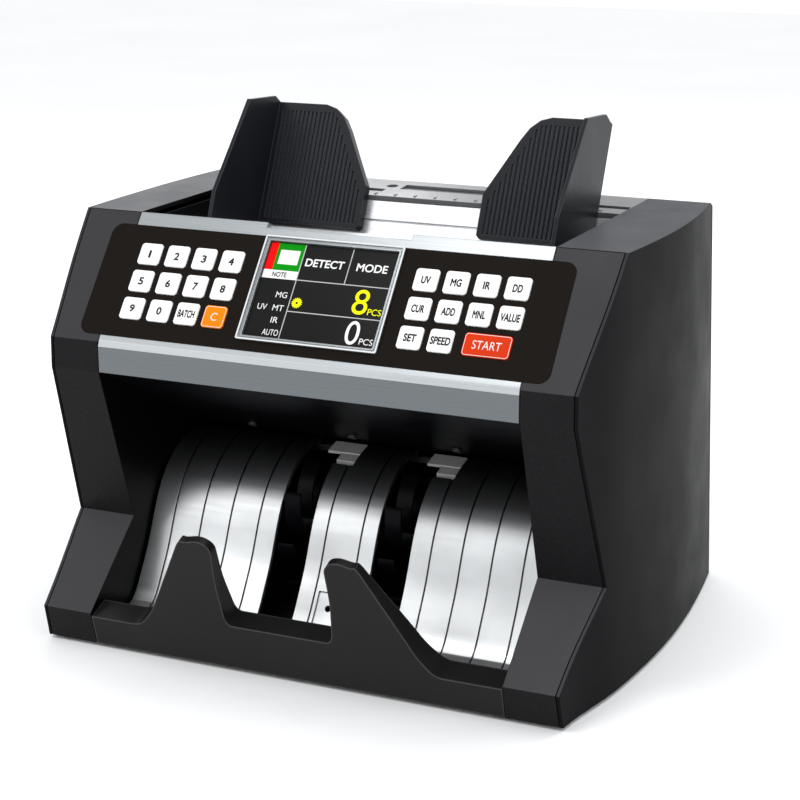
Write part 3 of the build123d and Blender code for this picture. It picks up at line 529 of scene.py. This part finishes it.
def print_and_highlight_ring(name, middle, size, line, radius, ink, body):
    """Thin flat line of even width that follows a rounded rectangle: printed borders on the keys, and a
    painted highlight along the bezel rim.
    """
    outer = rounded_outline(middle, size[0], size[1], radius)
    inner = rounded_outline(middle, size[0] - 2 * line, size[1] - 2 * line, max(radius - line, 0.0001))
    mesh = bpy.data.meshes.new(name)
    build = bmesh.new()
    out_ring = [build.verts.new(point) for point in outer]
    in_ring = [build.verts.new(point) for point in inner]
    count = len(outer)
    for i in range(count):
        j = (i + 1) % count
        build.faces.new((out_ring[i], out_ring[j], in_ring[j], in_ring[i]))
    build.to_mesh(mesh)
    build.free()
    mesh.materials.append(ink)
    piece = bpy.data.objects.new(name, mesh)
    bpy.context.collection.objects.link(piece)
    settle(piece, body)


BORDER_HEIGHT = 0.0114
BORDER_LINE = 0.00028
BORDER_RADIUS = 0.0016
# size, width and corner radius of the painted highlight along the bezel rim
BEZEL_SIZE = (0.0772, 0.0586)
BEZEL_HIGHLIGHT_WIDTH = 0.0007
BEZEL_RADIUS = 0.0009


def key_border(key, width):
    middle = on_face(centre(key), top_of(key) + LAYER * 0.3)
    print_and_highlight_ring("border_" + key, middle, (width, BORDER_HEIGHT), BORDER_LINE, BORDER_RADIUS, INK_WHITE,
                 key + "_body")


key_border("key_c", 0.0118)
key_border("key_start", 0.0236)

# painted highlight: a thin pale ring along the bezel's outer rim
bezel_place = on_face(centre("display_frame"), top_of("display_frame") + LAYER * 0.5)
print_and_highlight_ring("bezel_painted_highlight_ring", bezel_place, BEZEL_SIZE, BEZEL_HIGHLIGHT_WIDTH, BEZEL_RADIUS, PAINTED_RIM_HIGHLIGHT, "chassis")


# ---- picture on the display: mm to the right of and above the picture's middle ----
SCREEN_RIGHT = 35.4
SCREEN_TOP = 26.3
LINE = 0.5                        # width of the drawn lines
COLUMN = -16.1                    # line between the left column and the counts
UPPER = 6.4                       # line under the top row
LOWER = -11.1                     # line between the two counts
MODE_LINE = 10.4
TAB_EDGE = -30.9                  # between the icon's tab and its field
STRIP_TOP = 11.1
SUN_X = -11.8
SUN_Y = -5.9
SUN_OUTER = 3.1
SUN_INNER = 2.2
SUN_POINTS = 16

SCREEN_WORDS = [                  # name, words, x, y, width, height, ink, weight
    ("icon_ring", "o", -23.5, 18.6, 4.6, 4.6, LIT_BLACK, 0.0),
    ("strip_word", "NOTE", -26.0, 8.75, 8.0, 2.8, LIT_BLACK, SEMIBOLD),
    ("detect", "DETECT", -2.9, 16.8, 21.4, 4.4, LIT_WHITE, SEMIBOLD),
    ("mode", "MODE", 23.2, 16.7, 16.8, 4.4, LIT_WHITE, SEMIBOLD),
    ("mg", "MG", -21.3, -2.3, 6.2, 3.2, LIT_WHITE, 0.0),
    ("uv", "UV", -30.0, -9.6, 5.2, 3.2, LIT_WHITE, 0.0),
    ("mt", "MT", -21.1, -9.6, 6.0, 3.2, LIT_WHITE, 0.0),
    ("ir", "IR", -21.1, -16.3, 3.9, 3.2, LIT_WHITE, 0.0),
    ("auto", "AUTO", -21.4, -23.2, 8.8, 3.3, LIT_WHITE, 0.0),
    ("count", "8", 22.4, -2.0, 8.2, 13.6, LIT_YELLOW, 0.0),
    ("count_unit", "PCS", 31.0, -6.9, 7.3, 3.4, LIT_YELLOW, 0.0),
    ("total", "0", 22.6, -18.8, 7.4, 12.8, LIT_WHITE, 0.0),
    ("total_unit", "PCS", 31.0, -23.0, 7.3, 3.3, LIT_WHITE, 0.0),
]


def screen_picture():
    middle = centre("display_frame") + SIDE * 0.0002 - UP * 0.0003
    height = top_of("display_screen") + LAYER

    def spot(x, y, layer=0):
        return on_face(middle + SIDE * x * MM + UP * y * MM, height + LAYER * layer)

    def panel(name, x0, x1, y0, y1, ink, layer=0):
        corners = [spot(x0, y0, layer), spot(x1, y0, layer), spot(x1, y1, layer), spot(x0, y1, layer)]
        flat_shape("screen_" + name, corners, ink, "chassis")

    def text(name, words, x, y, width, tall, ink, weight):
        lettering("screen_" + name, words, spot(x, y, 1), width, tall, ink, "chassis", weight)

    panel("line_column", COLUMN, COLUMN + LINE, -SCREEN_TOP, SCREEN_TOP, LIT_GREY)
    panel("line_upper", COLUMN + LINE, SCREEN_RIGHT, UPPER, UPPER + LINE, LIT_GREY)
    panel("line_lower", COLUMN + LINE, SCREEN_RIGHT, LOWER, LOWER + LINE, LIT_GREY)
    panel("line_mode", MODE_LINE, MODE_LINE + LINE, UPPER + LINE, SCREEN_TOP, LIT_GREY)
    panel("icon_tab", -SCREEN_RIGHT, TAB_EDGE, STRIP_TOP, SCREEN_TOP, LIT_RED)
    panel("icon_field", TAB_EDGE, COLUMN, STRIP_TOP, SCREEN_TOP, LIT_GREEN)
    panel("icon_note", -29.0, -18.0, 14.6, 22.6, LIT_WHITE, 1)
    panel("icon_strip", -SCREEN_RIGHT, COLUMN, UPPER, STRIP_TOP, LIT_WHITE)
    for entry in SCREEN_WORDS:
        text(*entry)
    star = []
    for k in range(2 * SUN_POINTS):
        radius = SUN_OUTER if k % 2 else SUN_INNER
        angle = k * pi / SUN_POINTS
        star.append(spot(SUN_X + radius * cos(angle), SUN_Y + radius * sin(angle)))
    flat_shape("screen_sun", star, LIT_YELLOW, "chassis")
    text("sun_hole", ".", SUN_X, SUN_Y, 1.3, 1.3, LIT_BLACK, 0.0)


screen_picture()


# ---- stage, light, camera ----
FLOOR_HALF = 4.0
BODY_MIDDLE = (0, 0, 0.1)         # what the lights are aimed at


def make_floor():
    mesh = bpy.data.meshes.new("floor")
    corners = [(x * FLOOR_HALF, y * FLOOR_HALF, 0) for x, y in ((-1, -1), (1, -1), (1, 1), (-1, 1))]
    mesh.from_pydata(corners, [], [(0, 1, 2, 3)])
    floor = bpy.data.objects.new("floor", mesh)
    bpy.context.collection.objects.link(floor)
    material, tree, shader = node_material("floor_pale")
    mottled = noise(tree, place_texture(tree), 3.0)
    tint = ramp(tree, mottled, [(0.2, (0.88, 0.88, 0.88)), (0.8, (0.92, 0.92, 0.92))])
    tree.links.new(tint, shader.inputs["Base Color"])
    shader.inputs["Roughness"].default_value = 0.9
    shader.inputs["Specular IOR Level"].default_value = 0.1
    mesh.materials.append(material)


def add_light(name, place, target, size, power):
    data = bpy.data.lights.new(name, "AREA")
    data.shape = "RECTANGLE"
    data.size = size[0]
    data.size_y = size[1]
    data.energy = power
    lamp = bpy.data.objects.new(name, data)
    bpy.context.collection.objects.link(lamp)
    lamp.location = place
    aim = Vector(target) - Vector(place)
    lamp.rotation_euler = aim.to_track_quat("-Z", "Y").to_euler()


def make_lights():
    world = bpy.data.worlds.new("studio")
    bpy.context.scene.world = world
    world.use_nodes = True
    backdrop = world.node_tree.nodes["Background"]
    backdrop.inputs["Color"].default_value = (0.97, 0.985, 1.0, 1)
    backdrop.inputs["Strength"].default_value = 1.08
    add_light("key_left", (-0.9, -1.1, 1.1), BODY_MIDDLE, (0.7, 0.7), 3)
    add_light("top_front", (-0.2, -0.5, 1.05), (0.13, -0.1, 0.12), (0.3, 0.3), 2.6)
    add_light("top_back", (0.3, 0.6, 1.4), BODY_MIDDLE, (0.8, 0.8), 8)
    add_light("fill_right", (1.6, 0.6, 0.9), BODY_MIDDLE, (0.5, 0.8), 0.6)
    add_light("fill_back", (-1.1, 1.5, 0.8), BODY_MIDDLE, (0.9, 0.9), 5)


def make_camera():
    data = bpy.data.cameras.new("camera")
    data.lens = CAMERA_LENS
    data.sensor_width = 36.0
    camera = bpy.data.objects.new("camera", data)
    bpy.context.collection.objects.link(camera)
    camera.location = CAMERA_PLACE
    camera.rotation_euler = (radians(90 - CAMERA_ELEVATION), 0, radians(CAMERA_AZIMUTH))
    bpy.context.scene.camera = camera


bpy.context.scene.view_settings.view_transform = "Standard"
make_floor()
make_lights()
make_camera()
